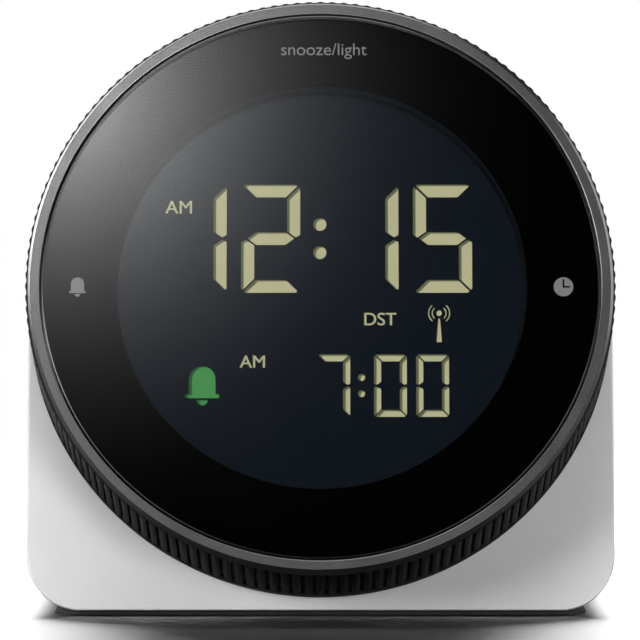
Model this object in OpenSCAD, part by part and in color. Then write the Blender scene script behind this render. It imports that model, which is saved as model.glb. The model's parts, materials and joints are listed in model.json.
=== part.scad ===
// Digital alarm clock: arch-shaped body with a tilted front, a turning ring round a flat display.
// Millimetres, +Z up, front towards -Y. The origin is under the middle of the clock, on the table.

/* [Body] */
// Height that the body stands proud of the ring on each side
side_proud = 0.2; // [0:0.05:3]
// Lean of the front face from upright, in degrees
face_tilt = 15; // [10:0.5:18]
// Height of the ring's axis over the underside, where it meets the front face, past the ring's own radius
ring_lift = 0.3; // [0:0.1:4]
// Distance from the ring's axis on the front face back to the rear face
back_reach = 31; // [28:0.5:40]
// Drop of the arch's centre below the ring's axis
arch_drop = 1.3; // [0.6:0.1:2.5]
// Wall thickness of the housing and rear cover
wall = 2; // [1.6:0.1:2.6]
// Rounding of the two lower corners
corner_r = 7; // [4:0.5:10]
// Rounding of the rear edge
rear_r = 3.5; // [2:0.25:4]
// Depth of the rear cover
cover_depth = 9; // [8.5:0.5:12]
// Height that the foot stands proud of the underside
foot_proud = 0.7; // [0.4:0.1:1.5]

/* [Ring] */
// Outer diameter of the ring
ring_d = 75; // [68:0.5:90]
// Depth of the ring from front to rear
ring_depth = 15.2; // [13:0.1:18]
// Number of grip grooves round the ring
groove_count = 156; // [60:2:180]
// Width of one grip groove
groove_w = 0.42; // [0.3:0.02:0.7]
// Depth of one grip groove
groove_depth = 0.45; // [0.2:0.05:0.6]
// Depth of the smooth collar in front of the grooves
collar_depth = 0.95; // [0.6:0.05:2]
// Depth of the plain rim behind the grooves
rim_depth = 1.6; // [1:0.1:2.5]
// Height that the plain rim stands proud of the lands between the grooves
rim_proud = 0.05; // [0.05:0.01:0.12]
// Running clearance between ring and carrier, on the radius
bearing_clear = 0.08; // [0.05:0.01:0.1]
// Gap between the ring and the front face behind it
ring_gap = 0.4; // [0.3:0.05:0.8]
// Gap between lens edge and ring
lens_gap = 0.33; // [0.25:0.01:0.5]

/* [Display] */
// Thickness of the lens
lens_t = 1.5; // [1:0.1:1.8]
// Width of the dark border, from the outside of the ring to the clear window
border_w = 11.3; // [11:0.1:14]
// Height of the time digits
time_h = 14.2; // [10:0.2:15]
// Height of the alarm digits
alarm_h = 8.1; // [6:0.1:9]
// Thickness of the light guide
guide_t = 1.6; // [1:0.1:1.8]

/* [Power] */
// Diameter of one cell
cell_d = 10.5; // [10:0.1:11]
// Length of one cell over its nub
cell_l = 44.5; // [42:0.1:45.5]
// Clearance round the cells in their bay
cell_gap = 0.4; // [0.2:0.05:0.6]
// Thickness of the battery door
door_t = 2; // [1.6:0.1:2.6]
// Gap round the battery door
door_gap = 0.25; // [0.15:0.05:0.5]

/* [Rear buttons] */
// Diameter of a rear button
button_d = 5; // [4:0.1:5.6]
// Distance between neighbouring rear buttons
button_pitch = 9; // [8.4:0.1:10]
// Travel of a rear button
button_travel = 0.6; // [0.4:0.05:0.7]
// Height that a rear button stands proud of the rear face
button_proud = 0.8; // [0.7:0.1:1.5]

/* [Hidden] */
$fn = 96;
far = 120;
ring_r = ring_d / 2;
body_r = ring_r + side_proud;
axis_rise = ring_r + ring_lift;
base_z = foot_proud;
axis_z = base_z + axis_rise;
arch_z = axis_z - arch_drop;
sin_t = sin(face_tilt);
cos_t = cos(face_tilt);

// Ring, from the front face outwards
ring_back = ring_gap;
ring_front = ring_gap + ring_depth;
face_r = ring_r - 0.63;
collar_r = ring_r - 0.15;
bore_r = ring_r - 1.87;
lens_r = bore_r - lens_gap;
flange_r = lens_r - 0.1;
sleeve_r = bore_r - 1.13;
rib_r = sleeve_r + bearing_clear;

// Place of the axis so that the part's box is centred
reach_front = ring_front * cos_t + face_r * sin_t;
axis_y = (reach_front - back_reach - button_proud) / 2;
rear_y = axis_y + back_reach;
part_y = rear_y - cover_depth;
front_edge_y = axis_y - axis_rise * tan(face_tilt);

// Stack behind the lens, each from its rear face
mask_t = 0.2;
foil_t = 0.2;
web_t = 1.4;
film_t = 0.18;
glass_t = 0.7;
cell_space = 0.06;
sheet_t = 0.12;
board_t = 1;
lens_w = ring_front - lens_t;
mask_w = lens_w - mask_t;
foil_w = mask_w - foil_t;
web_w = foil_w - web_t;
film_w = web_w - film_t;
glass_w = film_w - glass_t;
segment_w = glass_w - cell_space;
rear_glass_w = segment_w - glass_t;
rear_film_w = rear_glass_w - film_t;
guide_w = rear_film_w - guide_t;
sheet_w = guide_w - sheet_t;
board_w = sheet_w - board_t;
window_r = ring_r - border_w;
web_hole_r = window_r + 0.6;
film_r = web_hole_r + 0.3;
glass_half = web_hole_r + 0.5;
tail_x = 6;
tail_width = 6;
tail_t = 0.3;
tail_v = web_hole_r + 1.3;
sleeve_in_r = sleeve_r - 3.3;
glass_r = sleeve_in_r - 0.7;
board_r = sleeve_in_r - 0.4;
seal_r = window_r + 0.2;
ledge_v = -glass_half + 0.6;
zebra_half = 0.325 * glass_r;
glass_low_v = -sqrt(glass_r * glass_r - pow(zebra_half - 0.8, 2));
zebra_low_v = -sqrt(glass_r * glass_r - zebra_half * zebra_half) + 0.1;
zebra_high_v = ledge_v - 0.25;

// Parts on the rear of the main board
chip_half = 6;
chip_v = 2;
chip_t = 1.2;
crystal_r = 1;
crystal_l = 6;
crystal_x = 0.29 * board_r;
crystal_v = -0.355 * board_r;
radio_w = 8;
radio_h = 6;
radio_x = -0.55 * board_r;

// Ring teeth and encoder
gear_n = 112;
pinion_n = 14;
gear_pitch_r = sleeve_r - 0.9;
tooth_m = 2 * gear_pitch_r / gear_n;
pinion_pitch_r = pinion_n * tooth_m / 2;
tooth_add = 0.5;
tooth_ded = 0.65;
tooth_play = 0.14;
gear_tip_r = gear_pitch_r - tooth_add;
gear_out_r = sleeve_r + 0.9;
gear_fit = 0.03;
encoder_v = -(gear_pitch_r - pinion_pitch_r);
encoder_half = 3;
pinion_room = pinion_pitch_r + tooth_add + 0.7;
shaft_r = 1.2;
shaft_fit = 0.06;
gear_back = ring_back + 0.2;
gear_front = gear_back + 2.4;
waist_r = gear_tip_r - 0.3;
pinion_back = gear_back + 0.1;
pinion_front = gear_front - 0.3;
encoder_w = gear_front + 0.05;

// Screws: radius of shank, clearance on the radius, head
screw_r = 0.9;
screw_fit = 0.03;
screw_pass = 0.15;
head_r = 1.8;
head_t = 1.2;
carrier_screw_at = sleeve_in_r - 1.9;
board_screw_at = sleeve_in_r - 2.1;
board_boss_r = min(1.7, (sleeve_in_r - 0.1) - board_screw_at);
small_screw_r = 0.8;
small_head_r = 1.5;
carrier_depth = board_w - 0.2;
carrier_screw_in = min(4, carrier_depth - 0.6);
opening_r = window_r + 0.8;

// Rear cover
post_r = 2.8;
post_wall = 0.6;
screw_bite = 7;
slot_l = 2;
slot_w = 0.5;
slot_depth = 0.6;
seat_depth = 3.2;
seat_r = head_r + 0.4;
bay_wall = 2.2;
ledge = 1.2;
contact_t = 0.4;
spring_l = 5;
bay_half = cell_l / 2 + contact_t + spring_l / 2;
bay_z0 = base_z + 8.3;
low_post = [body_r - wall - post_r - post_wall - 0.4, bay_z0];
high_post_r = body_r - 7.1;
high_post_a = 46.7;
high_post = [high_post_r * cos(high_post_a), arch_z + high_post_r * sin(high_post_a)];
bay_h = 2 * cell_d + 3 * cell_gap;
bay_d = cell_d + 2 * cell_gap;
bay_front_y = rear_y - door_t - bay_d;
cell_y = rear_y - door_t - cell_gap - cell_d / 2;
cell_zs = [bay_z0 + cell_gap + cell_d / 2, bay_z0 + 2 * cell_gap + cell_d * 1.5];
door_half = bay_half + ledge;
tab_reach = 2.5;
lip_x = 0.64 * bay_half;
lip_half = 3;
lip_depth = 2;
lip_t = 0.8;
notch_half = 7;
notch_r = 4.5;
notch_depth = 0.9;
notch_drop = 3.2;
tongue_x = 9;
tongue_gap = 0.8;
tongue_l = 7;
key_z = bay_z0 + bay_h + bay_wall + 5;
key_flange_t = 1;
key_gap = 0.25;
button_fit = 0.25;
key_flange_r = button_d / 2 + 0.8;
key_flange_d = wall + key_gap;
stem_r = 0.9;
stem_fit = 0.1;
switch_t = 2.2;
switch_half = 2.3;
switch_d = key_flange_d + key_flange_t + button_travel + 0.15;
key_board_d = switch_d + switch_t;
key_board_half = [2 * button_pitch + 0.5, 4];
key_post_x = 2 * button_pitch - 1.6;
key_post_r = 1.8;
sound_wall = 1.2;
sound_top = arch_z + body_r - wall - 2 * sound_wall;
sound_low = key_z + key_board_half[1] + 3.1;
sound_r = (sound_top - sound_low) / 2;
sound_z = (sound_top + sound_low) / 2;
sound_fit = 0.1;
sound_pitch = 0.256 * sound_r;
sound_hole_r = 0.7;
ceramic_r = 0.72 * sound_r;
sound_d = wall + 1.8;
disc_t = 0.3;
ceramic_t = 0.25;

// Aerial
rod_r = 3.5;
rod_l = 46;
coil_r = 5;
coil_l = 22;
rod_y = axis_y + 7;
rod_z = base_z + wall + coil_r + 1.4;
rod_fit = 0.05;
cradle_x = 18;
cradle_t = 2;

// Foot
foot_sink = 0.5;
foot_half = body_r - corner_r / 2;
foot_y0 = front_edge_y + 2.5;
foot_y1 = part_y - 1.5;
foot_r = 4;

// Leads: where each pair meets the main board, up the face, and how far it runs straight before it bends
lead_r = 0.5;
battery_leads_x = 0.72 * board_r;
battery_leads_v = [-0.16 * board_r, 0.13 * board_r];
sounder_leads_v = 0.585 * board_r;
aerial_leads_v = -0.615 * board_r;
ribbon_v = -0.26 * board_r;
lead_run = 8;
short_run = 5;
ribbon_run = 6;
ribbon_half = 5;
ribbon_t = 0.4;

// A point of the front face's frame: across, up the face, out of the face
function on_face_point(x, v, w) = [x, axis_y + v * sin_t - w * cos_t, axis_z + v * cos_t + w * sin_t];

module on_face() {
    translate([0, axis_y, axis_z]) rotate([90 - face_tilt, 0, 0]) children();
}

// Frame of the rear face: across, up, and depth into the clock
module on_back() {
    translate([0, rear_y, 0]) rotate([90, 0, 0]) children();
}

module disc(r, w0, w1) {
    translate([0, 0, w0]) cylinder(r = r, h = w1 - w0);
}

module tube(r_out, r_in, w0, w1) {
    translate([0, 0, w0]) linear_extrude(w1 - w0) difference() {
        circle(r = r_out);
        circle(r = r_in);
    }
}

module slab(x0, x1, y0, y1, z0, z1) {
    translate([x0, y0, z0]) cube([x1 - x0, y1 - y0, z1 - z0]);
}

// Body outline, seen from the front, moved inwards by inset
module outline(inset) {
    r = body_r - inset;
    c = body_r - corner_r;
    translate([0, arch_z]) intersection() {
        circle(r = r);
        square_at(-2 * r, 2 * r, 0, 2 * r);
    }
    translate([-r, base_z + corner_r]) square([2 * r, arch_z - base_z - corner_r]);
    translate([-c, base_z + inset]) square([2 * c, corner_r]);
    for (s = [-1, 1]) translate([s * c, base_z + corner_r]) circle(r = corner_r - inset);
}

module body_prism(inset, y0, y1) {
    translate([0, y1, 0]) rotate([90, 0, 0]) linear_extrude(y1 - y0) outline(inset);
}

// Everything in front of the front face, moved inwards by depth
module in_front(depth) {
    on_face() translate([-far / 2, -far, -depth]) cube([far, 2 * far, far]);
}

module posts(r, y0, y1) {
    for (s = [-1, 1], p = [low_post, high_post])
        translate([s * p[0], y1, p[1]]) rotate([90, 0, 0]) cylinder(r = r, h = y1 - y0);
}

module carrier_screw_places() {
    for (a = [60, 120, 240, 300]) rotate(a) translate([carrier_screw_at, 0, 0]) children();
}

module board_screw_places() {
    for (a = [0, 90, 180]) rotate(a) translate([board_screw_at, 0, 0]) children();
}

module foot_shape(r, grow) {
    x = foot_half - r;
    y0 = foot_y0 + r;
    y1 = foot_y1 - r;
    square_at(-x, x, y0 - r - grow, y1 + r + grow);
    square_at(-x - r - grow, x + r + grow, y0, y1);
    for (sx = [-x, x], sy = [y0, y1]) translate([sx, sy]) circle(r = r + grow);
}

module square_at(x0, x1, y0, y1) {
    translate([x0, y0]) square([x1 - x0, y1 - y0]);
}

module housing() {
    color("White") difference() {
        body_prism(0, -far / 2, part_y);
        in_front(0);
        difference() {
            body_prism(wall, -far / 2, part_y + 1);
            in_front(wall);
            posts(post_r, -far / 2, part_y + 2);
            for (s = [-1, 1]) difference() {
                slab(s * cradle_x - cradle_t / 2, s * cradle_x + cradle_t / 2, rod_y - rod_r - 1.5,
                    rod_y + rod_r + 1.5, 0, rod_z);
                translate([-far / 2, rod_y, rod_z]) rotate([0, 90, 0]) cylinder(r = rod_r + rod_fit, h = far);
            }
        }
        posts(screw_r + screw_fit, part_y - screw_bite - 1, part_y + 1);
        on_face() {
            disc(opening_r, -wall - 1, 1);
            carrier_screw_places() disc(screw_r + screw_pass, -wall - 1, 1);
        }
        translate([0, 0, base_z - 1]) linear_extrude(foot_sink + 1) foot_shape(foot_r, 0.1);
    }
}

module cover_shell() {
    straight = cover_depth - rear_r;
    module section(r) {
        square_at(0, r, 0, straight);
        square_at(0, r - rear_r, 0, cover_depth);
        translate([r - rear_r, straight]) circle(r = rear_r);
    }
    difference() {
        intersection() {
            union() {
                translate([0, part_y, arch_z]) rotate([-90, 0, 0]) rotate(180)
                    rotate_extrude(angle = 180) section(body_r);
                translate([0, part_y, 0]) linear_extrude(arch_z) {
                    section(body_r);
                    mirror([1, 0]) section(body_r);
                }
            }
            body_prism(0, part_y, rear_y + 1);
        }
        body_prism(wall, part_y - 1, rear_y - wall);
    }
}

module rear_cover() {
    color("White") difference() {
        union() {
            cover_shell();
            posts(post_r + post_wall, part_y, rear_y - wall);
            slab(-bay_half - bay_wall, bay_half + bay_wall, bay_front_y - bay_wall, rear_y - wall,
                bay_z0 - bay_wall, bay_z0 + bay_h + bay_wall);
            on_back() translate([0, sound_z, 0]) tube(sound_r + sound_wall, sound_r - 1, wall, sound_d + 1.2);
            on_back() for (x = [-key_post_x, key_post_x]) translate([x, key_z, 0])
                disc(key_post_r, wall, key_board_d);
        }
        posts(screw_r + screw_pass, part_y - 1, rear_y);
        posts(seat_r, rear_y - seat_depth, rear_y + 1);
        slab(-bay_half, bay_half, bay_front_y, rear_y + 1, bay_z0, bay_z0 + bay_h);
        slab(-door_half, door_half, rear_y - door_t, rear_y + 1, bay_z0 - ledge, bay_z0 + bay_h + ledge);
        for (z = cell_zs) slab(bay_half - contact_t - 0.1, bay_half, bay_front_y - bay_wall - 1,
            bay_front_y + 1, z - 1.7, z + 1.7);
        on_back() {
            translate([0, sound_z, 0]) disc(sound_r + sound_fit, sound_d, sound_d + 3);
            translate([0, sound_z, 0]) {
                disc(sound_hole_r, -1, wall + 1);
                for (ring = [1, 2], i = [0 : 6 * ring - 1])
                    rotate(i * 60 / ring) translate([sound_pitch * ring, 0, 0])
                        disc(sound_hole_r, -1, wall + 1);
            }
            for (i = [-1 : 1]) translate([i * button_pitch, key_z, 0])
                disc(button_d / 2 + button_fit, -1, wall + 1);
            for (s = [-1, 1]) translate([s * key_post_x, key_z, 0])
                disc(small_screw_r + screw_fit, key_board_d - 2.6, key_board_d + 1);
        }
    }
}

module foot_pad() {
    color("DimGray") linear_extrude(foot_proud + foot_sink) foot_shape(foot_r, 0);
}

module cover_screws() {
    color("Silver") {
        posts(screw_r, part_y - screw_bite, rear_y - seat_depth);
        difference() {
            posts(head_r, rear_y - seat_depth, rear_y - seat_depth + head_t);
            for (s = [-1, 1], p = [low_post, high_post]) translate([s * p[0], rear_y, p[1]]) cross_slot();
        }
    }
}

module cross_slot() {
    depth = seat_depth - head_t + slot_depth;
    cube([slot_l, 2 * depth, slot_w], center = true);
    cube([slot_w, 2 * depth, slot_l], center = true);
}

module ring_carrier() {
    color("DarkSlateGray") on_face() difference() {
        union() {
            tube(flange_r, web_hole_r, web_w, foil_w);
            tube(sleeve_r, sleeve_in_r, gear_front + 0.2, web_w + 0.5);
            tube(waist_r, sleeve_in_r, 0, gear_front + 0.5);
            intersection() {
                carrier_screw_places() disc(2.2, 0, carrier_depth);
                disc(sleeve_in_r + 0.5, 0, carrier_depth);
            }
            board_screw_places() disc(board_boss_r, sheet_w, web_w + 0.5);
        }
        carrier_screw_places() disc(screw_r + screw_fit, -1, carrier_screw_in + 0.3);
        board_screw_places() disc(small_screw_r + screw_fit, sheet_w - 1, web_w - 0.4);
        slab(-pinion_room, pinion_room, -far / 2, encoder_v + pinion_room, -1, board_w + 0.3);
        slab(tail_x - 0.5, tail_x + tail_width + 0.5, tail_v - 0.3, tail_v + tail_t + 0.3,
            web_w - 1, foil_w + 1);
    }
}

module carrier_screws() {
    color("Silver") on_face() carrier_screw_places() {
        disc(screw_r, -wall - 0.2, carrier_screw_in);
        difference() {
            disc(head_r, -wall - head_t, -wall);
            translate([0, 0, -wall - head_t]) cube([slot_l, slot_w, 2 * slot_depth], center = true);
        }
    }
}

// Outline with grip grooves
function groove_points(r, n, w, d) = [for (i = [0 : n - 1], k = [0 : 3])
    let (a = 360 / n * (i + 0.5), h = asin(w / 2 / r), q = k == 1 || k == 2 ? r - d : r)
    [q * cos(a + (k < 2 ? -h : h)), q * sin(a + (k < 2 ? -h : h))]];

module grip_ring() {
    groove_front = ring_front - collar_depth;
    groove_back = ring_back + rim_depth;
    color("DimGray") on_face() difference() {
        union() {
            disc(ring_r, ring_back, groove_back);
            translate([0, 0, groove_back]) linear_extrude(groove_front - groove_back)
                polygon(groove_points(ring_r - rim_proud, groove_count, groove_w, groove_depth));
            translate([0, 0, groove_front]) cylinder(r1 = collar_r, r2 = face_r, h = collar_depth);
        }
        disc(gear_out_r, ring_back - 1, gear_front);
        disc(rib_r, ring_back - 1, ring_front + 1);
        disc(bore_r, web_w - 0.3, ring_front + 1);
    }
}

// Half width of a tooth at radius r, in degrees, for a gear with n teeth
function involute(a) = tan(a) * 180 / PI - a;
function tooth_half(r, n) = let (p = n * tooth_m / 2, b = p * cos(20))
    90 / n + involute(20) - involute(acos(min(1, b / r)));

// Points of one gear: rs are the radii up one flank, grow widens each tooth along the pitch circle
function gear_points(n, rs, grow) = [for (i = [0 : n - 1], k = [0 : 2 * len(rs) - 1])
    let (up = k < len(rs), r = rs[up ? k : 2 * len(rs) - 1 - k],
        h = tooth_half(r, n) + grow / (n * tooth_m / 2) * 90 / PI, a = 360 / n * i + (up ? -h : h))
    [r * cos(a), r * sin(a)]];

module ring_gear() {
    color("Gainsboro") on_face() rotate(-90 + 180 / gear_n) translate([0, 0, gear_back])
        linear_extrude(gear_front - gear_back) difference() {
            circle(r = gear_out_r - gear_fit);
            polygon(gear_points(gear_n, [gear_tip_r, gear_pitch_r + tooth_ded], tooth_play));
        }
}

module front_lens() {
    color("SlateGray") on_face() {
        disc(lens_r, lens_w, ring_front - 0.25);
        translate([0, 0, ring_front - 0.25]) cylinder(r1 = lens_r, r2 = lens_r - 0.25, h = 0.25);
    }
}

module lens_mask() {
    color("Black") on_face() tube(flange_r, window_r, mask_w, lens_w);
}

module touch_foil() {
    color("Goldenrod") on_face() {
        tube(flange_r - 0.4, web_hole_r, foil_w, mask_w);
        slab(tail_x, tail_x + tail_width, tail_v, tail_v + tail_t, sheet_w, foil_w + 0.1);
    }
}

module lcd_front_film() {
    color("DarkSlateGray") on_face() disc(film_r, film_w, web_w);
}

// A glass or guide plate: a circle with three sides cut straight and its lower edge at low_v
module plate(half, low_v, w0, w1) {
    on_face() translate([0, 0, w0]) linear_extrude(w1 - w0) intersection() {
        circle(r = glass_r);
        square_at(-half, half, low_v, half);
    }
}

module lcd_front_glass() {
    color("LightBlue") plate(glass_half, glass_low_v, glass_w, film_w);
}

// An outline from its left points, given from the top down, and their mirror image in a width w
function both_sides(left, w) = concat(left, [for (i = [len(left) - 1 : -1 : 0]) [w - left[i][0], left[i][1]]]);

// Top bar of a digit: mitred ends with their tips cut off
module end_bar(h, w, t) {
    gap = t * 0.09;
    tip = t * 0.25;
    polygon(both_sides([[gap + tip, h], [gap + tip / 2, h - tip / 2], [gap + t, h - t]], w));
}

// Upper left bar of a digit: mitred at the top, slanted beside the middle bar
module side_bar(h, t) {
    gap = t * 0.09;
    tip = t * 0.25;
    polygon([[0, h - gap - tip], [tip / 2, h - gap - tip / 2], [t, h - t - gap], [t, h / 2 + t / 2 + gap / 2],
        [t * 0.35, h / 2 + gap], [0, h / 2 + gap + t * 0.2]]);
}

module middle_bar(h, w, t) {
    gap = t * 0.12;
    polygon(both_sides([[gap + t, (h + t) / 2], [gap + t * 0.35, h / 2], [gap + t, (h - t) / 2]], w));
}

// A digit of height h: on lists the bars that show, clockwise from the top and then the middle
module digit(on, h, w, t) {
    for (i = on) translate([i == 1 || i == 2 ? w : 0, i == 2 || i == 3 || i == 4 ? h : 0])
        mirror([i == 1 || i == 2 ? 1 : 0, 0]) mirror([0, i == 2 || i == 3 || i == 4 ? 1 : 0]) {
            if (i == 0 || i == 3) end_bar(h, w, t);
            else if (i == 6) middle_bar(h, w, t);
            else side_bar(h, t);
        }
}

module lcd_segments() {
    one = [1, 2];
    two = [0, 1, 3, 4, 6];
    five = [0, 2, 3, 5, 6];
    seven = [0, 1, 2];
    zero = [0, 1, 2, 3, 4, 5];
    time_w = time_h * 0.53;
    time_t = time_h * 0.118;
    time_x = time_h * 0.66;
    time_gap = time_h * 0.176;
    alarm_w = alarm_h * 0.515;
    alarm_t = alarm_h * 0.112;
    alarm_x = alarm_h * 0.66;
    alarm_left = -alarm_h * 0.05;
    alarm_dots = alarm_w + alarm_h * 0.126;
    alarm_right = alarm_w + alarm_h * 0.322;
    color("Beige") on_face() translate([0, 0, segment_w]) linear_extrude(cell_space) {
        translate([-0.0034 * window_r, -0.009 * window_r]) {
            translate([-time_gap - time_w - time_x, 0]) digit(one, time_h, time_w, time_t);
            translate([-time_gap - time_w, 0]) digit(two, time_h, time_w, time_t);
            for (s = [0.37, 0.63]) translate([0, time_h * s]) circle(r = time_t / 2);
            translate([time_gap, 0]) digit(one, time_h, time_w, time_t);
            translate([time_gap + time_x, 0]) digit(five, time_h, time_w, time_t);
        }
        translate([0, -0.625 * window_r]) {
            translate([alarm_left, 0]) digit(seven, alarm_h, alarm_w, alarm_t);
            for (s = [0.37, 0.63]) translate([alarm_dots, alarm_h * s]) circle(r = alarm_t / 2);
            translate([alarm_right, 0]) digit(zero, alarm_h, alarm_w, alarm_t);
            translate([alarm_right + alarm_x, 0]) digit(zero, alarm_h, alarm_w, alarm_t);
        }
    }
}

module lcd_seal() {
    color("DarkGray") on_face() tube(seal_r, seal_r - 0.6, segment_w, glass_w);
}

module lcd_rear_glass() {
    color("LightBlue") plate(glass_half, ledge_v, rear_glass_w, segment_w);
}

module lcd_rear_film() {
    color("DarkSlateGray") on_face() disc(seal_r, rear_film_w, rear_glass_w);
}

module light_guide() {
    color("WhiteSmoke") plate(glass_half - 0.7, ledge_v + 0.2, guide_w, rear_film_w);
}

module reflector_sheet() {
    color("White") plate(glass_half - 0.7, ledge_v + 0.2, sheet_w, guide_w);
}

module back_lights() {
    x = glass_half - 0.65;
    color("LightYellow") on_face() for (m = [0, 1], s = [-1, 1]) mirror([m, 0, 0])
        slab(x, x + 1.6, s * 7.5 - 1.5, s * 7.5 + 1.5, sheet_w, sheet_w + 1.4);
}

module zebra_strip() {
    color("LightPink") on_face() slab(-zebra_half, zebra_half, zebra_low_v, zebra_high_v, sheet_w, glass_w);
}

module main_board() {
    color("DarkGreen") on_face() difference() {
        disc(board_r, board_w, sheet_w);
        board_screw_places() disc(small_screw_r + screw_pass, board_w - 1, sheet_w + 1);
    }
}

module board_screws() {
    color("Silver") on_face() board_screw_places() {
        disc(small_screw_r, board_w - 0.2, web_w - 0.6);
        difference() {
            disc(small_head_r, board_w - 1, board_w);
            translate([0, 0, board_w - 1]) cube([1.8, 0.4, 0.9], center = true);
        }
    }
}

module control_chip() {
    color("Black") on_face() slab(-chip_half, chip_half, chip_v - chip_half, chip_v + chip_half,
        board_w - chip_t, board_w);
}

module quartz_crystal() {
    color("Silver") on_face() translate([crystal_x, crystal_v, board_w - crystal_r - 0.02]) rotate([0, 90, 0])
        cylinder(r = crystal_r, h = crystal_l);
}

module radio_receiver() {
    color("Black") on_face() slab(radio_x, radio_x + radio_w, crystal_v - radio_h / 2, crystal_v + radio_h / 2,
        board_w - chip_t, board_w);
}

module encoder_body() {
    color("SteelBlue") on_face() difference() {
        slab(-encoder_half, encoder_half, encoder_v - encoder_half, encoder_v + encoder_half,
            encoder_w, board_w);
        translate([0, encoder_v, 0]) disc(shaft_r + shaft_fit, encoder_w - 1, board_w - 0.5);
    }
}

module encoder_shaft() {
    color("Silver") on_face() translate([0, encoder_v, 0]) disc(shaft_r, pinion_back - 0.2, board_w - 0.7);
}

module encoder_pinion() {
    tip = pinion_pitch_r + tooth_add;
    root = pinion_pitch_r - tooth_ded;
    color("Gainsboro") on_face() translate([0, encoder_v, pinion_back]) rotate(90 + 180 / pinion_n)
        linear_extrude(pinion_front - pinion_back) difference() {
            polygon(gear_points(pinion_n, [root, pinion_pitch_r - 0.3, pinion_pitch_r, pinion_pitch_r + 0.25, tip],
                -tooth_play));
            circle(r = shaft_r);
        }
}

module along_rod(r, l) {
    translate([-l / 2, rod_y, rod_z]) rotate([0, 90, 0]) cylinder(r = r, h = l);
}

module aerial_rod() {
    color("DarkSlateGray") along_rod(rod_r, rod_l);
}

module aerial_coil() {
    color("Peru") difference() {
        along_rod(coil_r, coil_l);
        along_rod(rod_r, coil_l + 2);
    }
}

module sounder_disc() {
    color("Goldenrod") on_back() translate([0, sound_z, 0]) disc(sound_r, sound_d, sound_d + disc_t);
}

module sounder_ceramic() {
    color("LightGray") on_back() translate([0, sound_z, 0])
        disc(ceramic_r, sound_d + disc_t, sound_d + disc_t + ceramic_t);
}

// Places a child at each cell, its nub towards +x, the lower one turned round
module each_cell() {
    translate([0, cell_y, cell_zs[1]]) children();
    translate([0, cell_y, cell_zs[0]]) rotate([0, 0, 180]) children();
}

module cells() {
    nub = 1.2;
    end = bay_half - contact_t;
    color("SeaGreen") each_cell() rotate([0, 90, 0]) {
        disc(cell_d / 2, end - cell_l, end - nub);
        disc(1.9, end - nub - 0.1, end);
    }
}

// Round wire along pts, with u and v as the section's two directions at each point
module wire(pts, u, v, r) {
    sides = 8;
    n = len(pts);
    ring = [for (i = [0 : n - 1], k = [0 : sides - 1])
        pts[i] + r * (cos(k * 360 / sides) * u[i] + sin(k * 360 / sides) * v[i])];
    walls = [for (i = [0 : n - 2], k = [0 : sides - 1])
        let (a = i * sides + k, b = i * sides + (k + 1) % sides) [a, a + sides, b + sides, b]];
    polyhedron(ring, concat([[for (k = [0 : sides - 1]) k]], walls,
        [[for (k = [sides - 1 : -1 : 0]) (n - 1) * sides + k]]));
}

module cell_springs() {
    wire_r = 0.35;
    turns = 4;
    steps = 64;
    rise = spring_l - 2 * wire_r;
    at = [for (i = [0 : steps]) i / steps];
    spin = [for (t = at) 360 * turns * t];
    pts = [for (i = [0 : steps]) let (r = 3.6 - 1.4 * at[i])
        [wire_r + rise * at[i], r * cos(spin[i]), r * sin(spin[i])]];
    out = [for (a = spin) [0, cos(a), sin(a)]];
    side = [for (a = spin) [1, 0, 0]];
    color("Silver") each_cell() translate([contact_t - bay_half, 0, 0]) wire(pts, side, out, wire_r);
}

module cell_contacts() {
    z0 = bay_z0 + 1.2;
    z1 = bay_z0 + bay_h - 1.2;
    y0 = bay_front_y + 0.4;
    y1 = rear_y - door_t - 0.6;
    color("Silver") {
        slab(-bay_half, contact_t - bay_half, y0, y1, z0, z1);
        for (z = cell_zs) {
            slab(bay_half - contact_t, bay_half, y0, y1, z - 4.2, z + 4.2);
            slab(bay_half - contact_t, bay_half, bay_front_y - bay_wall - tab_reach, y0 + 0.1,
                z - 1.5, z + 1.5);
        }
    }
}

module battery_door() {
    z0 = bay_z0 - ledge + door_gap;
    z1 = bay_z0 + bay_h + ledge - door_gap;
    color("White") difference() {
        union() {
            slab(-door_half + door_gap, door_half - door_gap, rear_y - door_t, rear_y, z0, z1);
            for (x = [-lip_x, lip_x]) slab(x - lip_half, x + lip_half, rear_y - door_t - lip_depth,
                rear_y - door_t + 0.1, bay_z0 + 0.1, bay_z0 + 0.1 + lip_t);
        }
        translate([-notch_half, rear_y + notch_r - notch_depth, z1 - notch_drop]) rotate([0, 90, 0])
            cylinder(r = notch_r, h = 2 * notch_half);
        for (x = [-tongue_x, tongue_x]) slab(x - tongue_gap / 2, x + tongue_gap / 2, rear_y - door_t - 1, rear_y + 1,
            z1 - tongue_l, z1 + 1);
    }
}

module rear_button(i) {
    on_back() translate([i * button_pitch, key_z, 0]) {
        disc(button_d / 2, -button_proud, key_flange_d + 0.1);
        disc(key_flange_r, key_flange_d, key_flange_d + key_flange_t);
        disc(stem_r, key_flange_d, switch_d + 0.4);
    }
}

module button_receive() {
    color("LightGray") rear_button(-1);
}

module button_zone() {
    color("LightGray") rear_button(0);
}

module button_reset() {
    color("LightGray") rear_button(1);
}

module key_board() {
    color("DarkGreen") on_back() difference() {
        slab(-key_board_half[0], key_board_half[0], key_z - key_board_half[1], key_z + key_board_half[1],
            key_board_d, key_board_d + board_t);
        for (s = [-1, 1]) translate([s * key_post_x, key_z, 0])
            disc(small_screw_r + screw_pass, key_board_d - 1, key_board_d + board_t + 1);
    }
}

module key_switches() {
    color("DimGray") on_back() for (i = [-1 : 1]) translate([i * button_pitch, key_z, 0]) difference() {
        slab(-switch_half, switch_half, -switch_half, switch_half, switch_d, key_board_d);
        disc(stem_r + stem_fit, switch_d - 1, switch_d + 0.4 + button_travel + 0.2);
    }
}

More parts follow.
